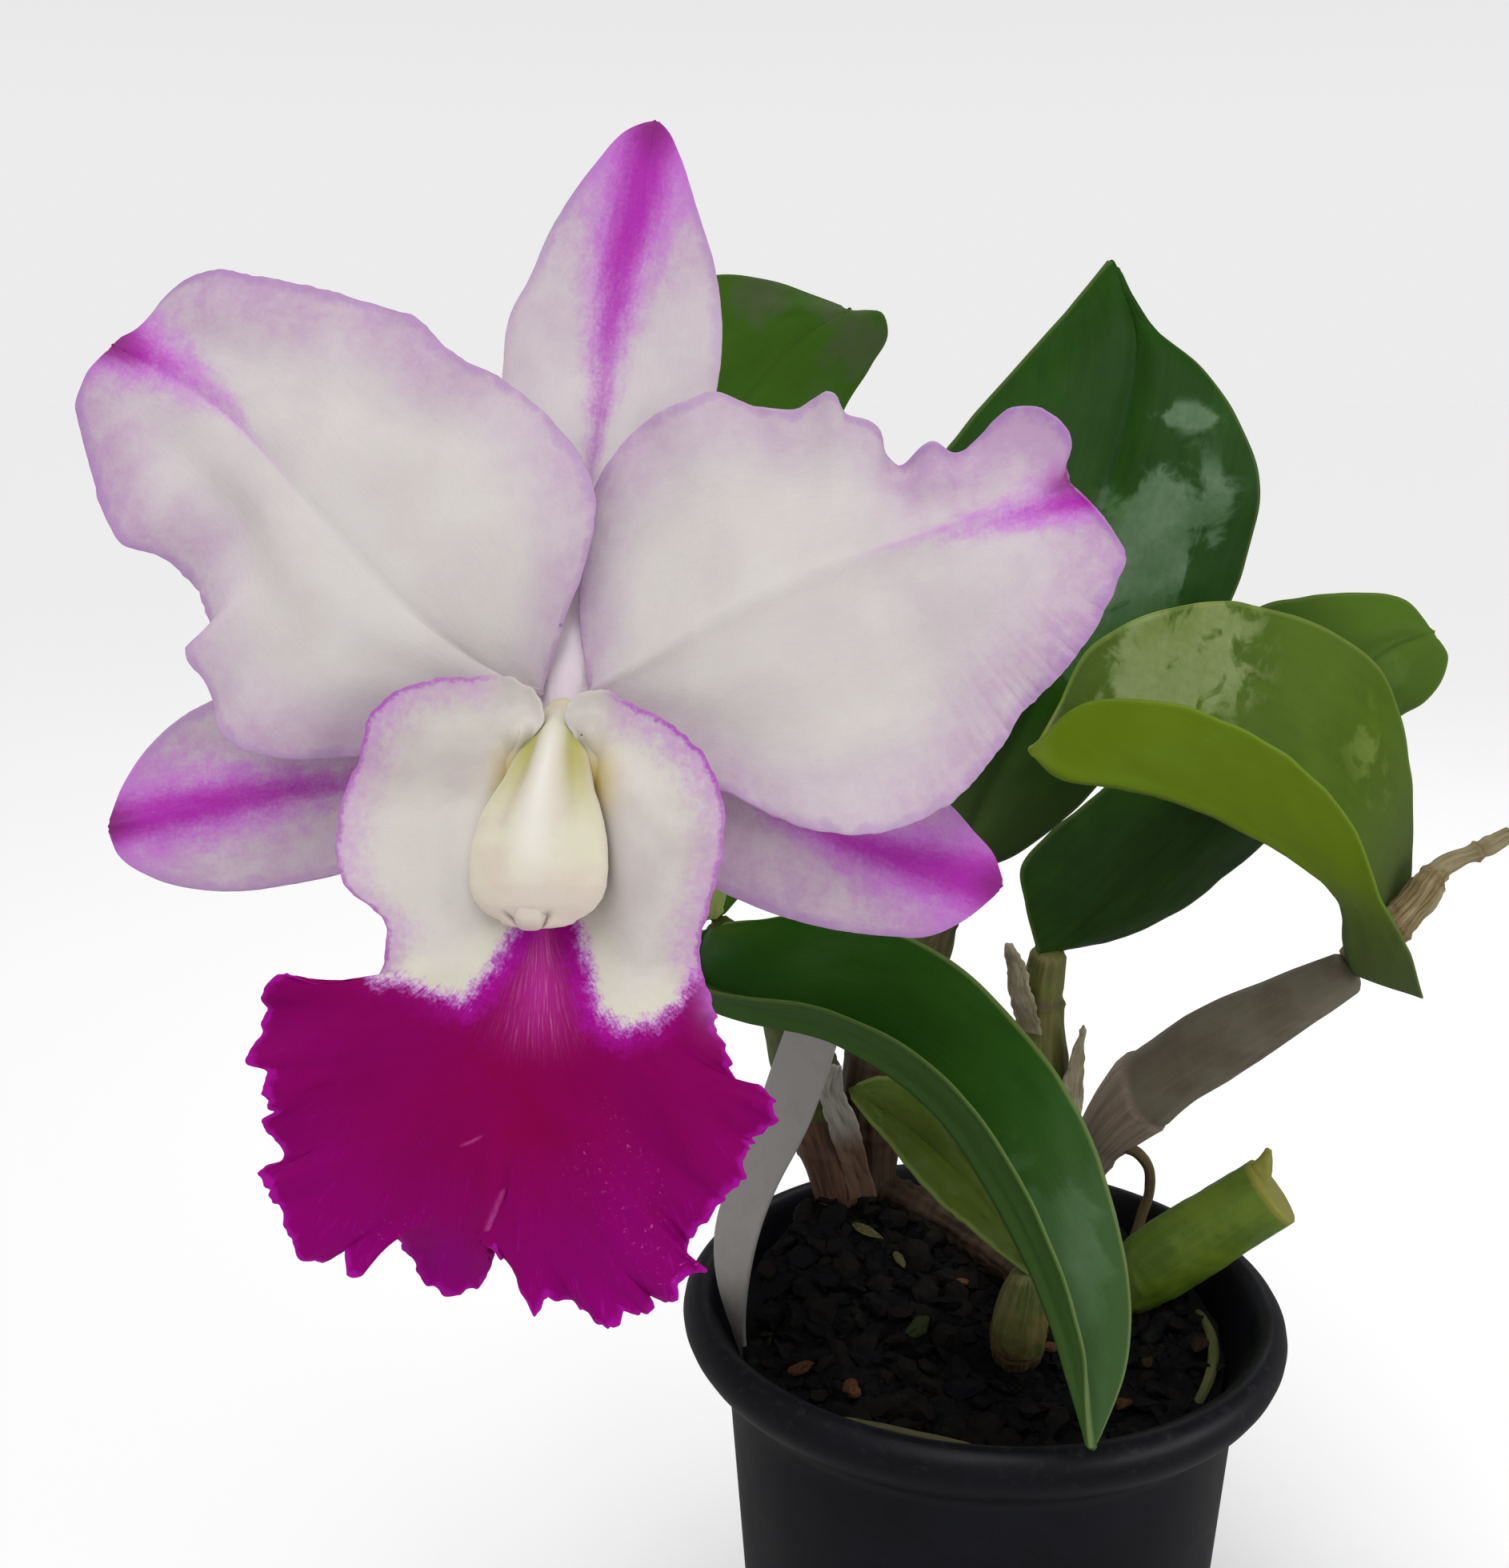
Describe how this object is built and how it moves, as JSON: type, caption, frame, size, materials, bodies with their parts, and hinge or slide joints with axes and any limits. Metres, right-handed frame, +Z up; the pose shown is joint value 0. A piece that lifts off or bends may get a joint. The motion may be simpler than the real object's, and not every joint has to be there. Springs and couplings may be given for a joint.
{
  "type": "potted cattleya orchid",
  "caption": "Potted cattleya orchid with one open bloom, thick leaves on pseudobulbs, bark mix and a rolled-rim plastic pot.",
  "frame": {"origin": "centre of the pot's flat underside", "axes": "+Z up along the pot's axis; the bloom faces -Y and hangs out to -X, +X to its viewer's right"},
  "size_m": [0.205, 0.1458, 0.27],
  "materials": {
    "pot_plastic": "satin near-black moulded plastic",
    "bark": "dark damp bark chips",
    "label_plastic": "grey-white plastic stake, blank",
    "rhizome_skin": "brown ringed stem",
    "stem_green": "olive green stem with fine lines",
    "stem_brown": "brown-olive stem with papery skin",
    "stem_papery": "grey-brown papery skin",
    "dry_bract": "dry tan bract",
    "root_skin": "dry pale root",
    "leaf_green": "glossy dark green leaf",
    "leaf_young": "glossy yellow-green leaf",
    "stalk_green": "smooth green stalk",
    "petal_skin": "cream-white petal blushed lavender, with a magenta flare at its tip",
    "lip_skin": "velvety magenta middle lobe, ivory side lobes",
    "column_wax": "waxy cream with yellow-green flanks"
  },
  "bodies": {
    "root": {"pot": "pot_plastic", "potting_medium": "bark", "plant_label": "label_plastic", "rhizome": "rhizome_skin", "pseudobulb_0": "stem_green", "pseudobulb_1": "stem_brown", "pseudobulb_2": "stem_green", "pseudobulb_3": "stem_papery", "pseudobulb_5": "stem_green", "cut_stem": "stem_green", "old_flower_spike": "dry_bract", "sheath_left": "dry_bract", "sheath_right": "dry_bract", "sheath_foot": "dry_bract", "root_loop": "root_skin", "root_front": "root_skin", "root_side": "root_skin", "leaf_a": "leaf_green", "leaf_b": "leaf_green", "leaf_c": "leaf_green", "leaf_d": "leaf_young", "leaf_f": "leaf_green", "leaf_g": "leaf_young", "flower_stalk": "stalk_green", "flower_sheath": "stalk_green", "petal_left": "petal_skin", "petal_right": "petal_skin", "dorsal_sepal": "petal_skin", "lateral_sepal_left": "petal_skin", "lateral_sepal_right": "petal_skin", "lip": "lip_skin", "column": "column_wax", "anther_cap": "column_wax"}
  },
  "joints": []
}
